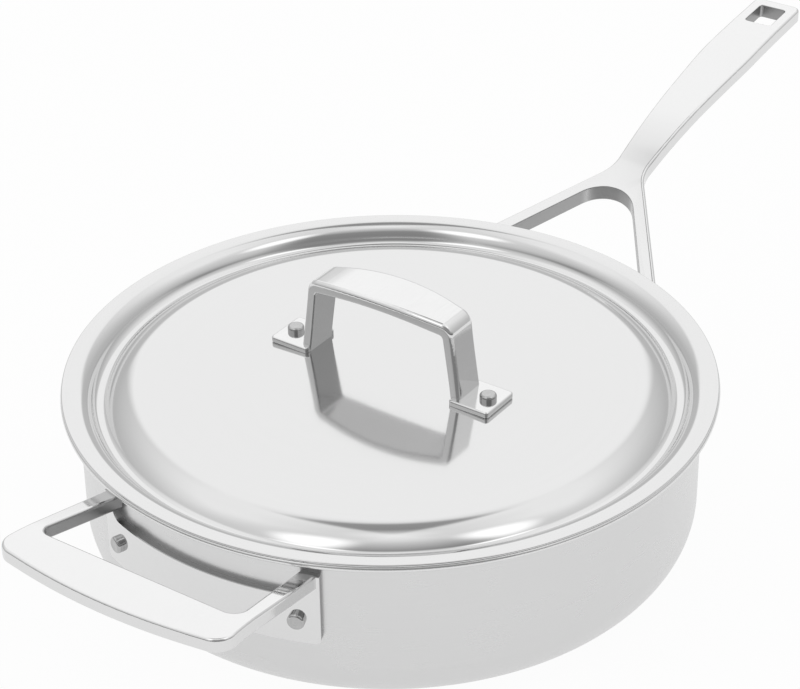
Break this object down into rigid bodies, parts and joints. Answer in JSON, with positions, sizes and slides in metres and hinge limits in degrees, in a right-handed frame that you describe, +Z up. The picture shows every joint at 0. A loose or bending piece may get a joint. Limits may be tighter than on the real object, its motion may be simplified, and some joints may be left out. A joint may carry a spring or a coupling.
{
  "type": "saute pan with lid",
  "caption": "Straight-sided clad steel saute pan with a forked long handle, a loop helper handle and a loose flanged lid with a bridge handle.",
  "frame": {"origin": "centre of the pan's flat base, on its underside", "axes": "+Z up along the pan's axis, +X along the long handle, +Y along the lid's bridge handle"},
  "size_m": [0.5085, 0.262, 0.1113],
  "materials": {
    "inner_steel": "satin cooking surface",
    "core_aluminium": "bonded between the skins",
    "outer_steel": "satin",
    "handle_steel": "polished casting",
    "stud_steel": "polished",
    "lid_steel": "mirror polished",
    "lid_handle_steel": "polished casting"
  },
  "bodies": {
    "pan": {"inner_steel_skin": "inner_steel", "aluminium_core": "core_aluminium", "outer_steel_skin": "outer_steel", "long_handle": "handle_steel", "long_handle_stud_left": "stud_steel", "long_handle_stud_right": "stud_steel", "helper_handle": "handle_steel", "helper_stud_left": "stud_steel", "helper_stud_right": "stud_steel"},
    "lid": {"lid_shell": "lid_steel", "lid_handle": "lid_handle_steel", "lid_stud_left": "stud_steel", "lid_stud_right": "stud_steel"}
  },
  "joints": [
    {"name": "lid_lift", "type": "slide", "parent": "pan", "child": "lid", "axis": [0, 0, 1], "range_m": [0, 0.15]}
  ]
}
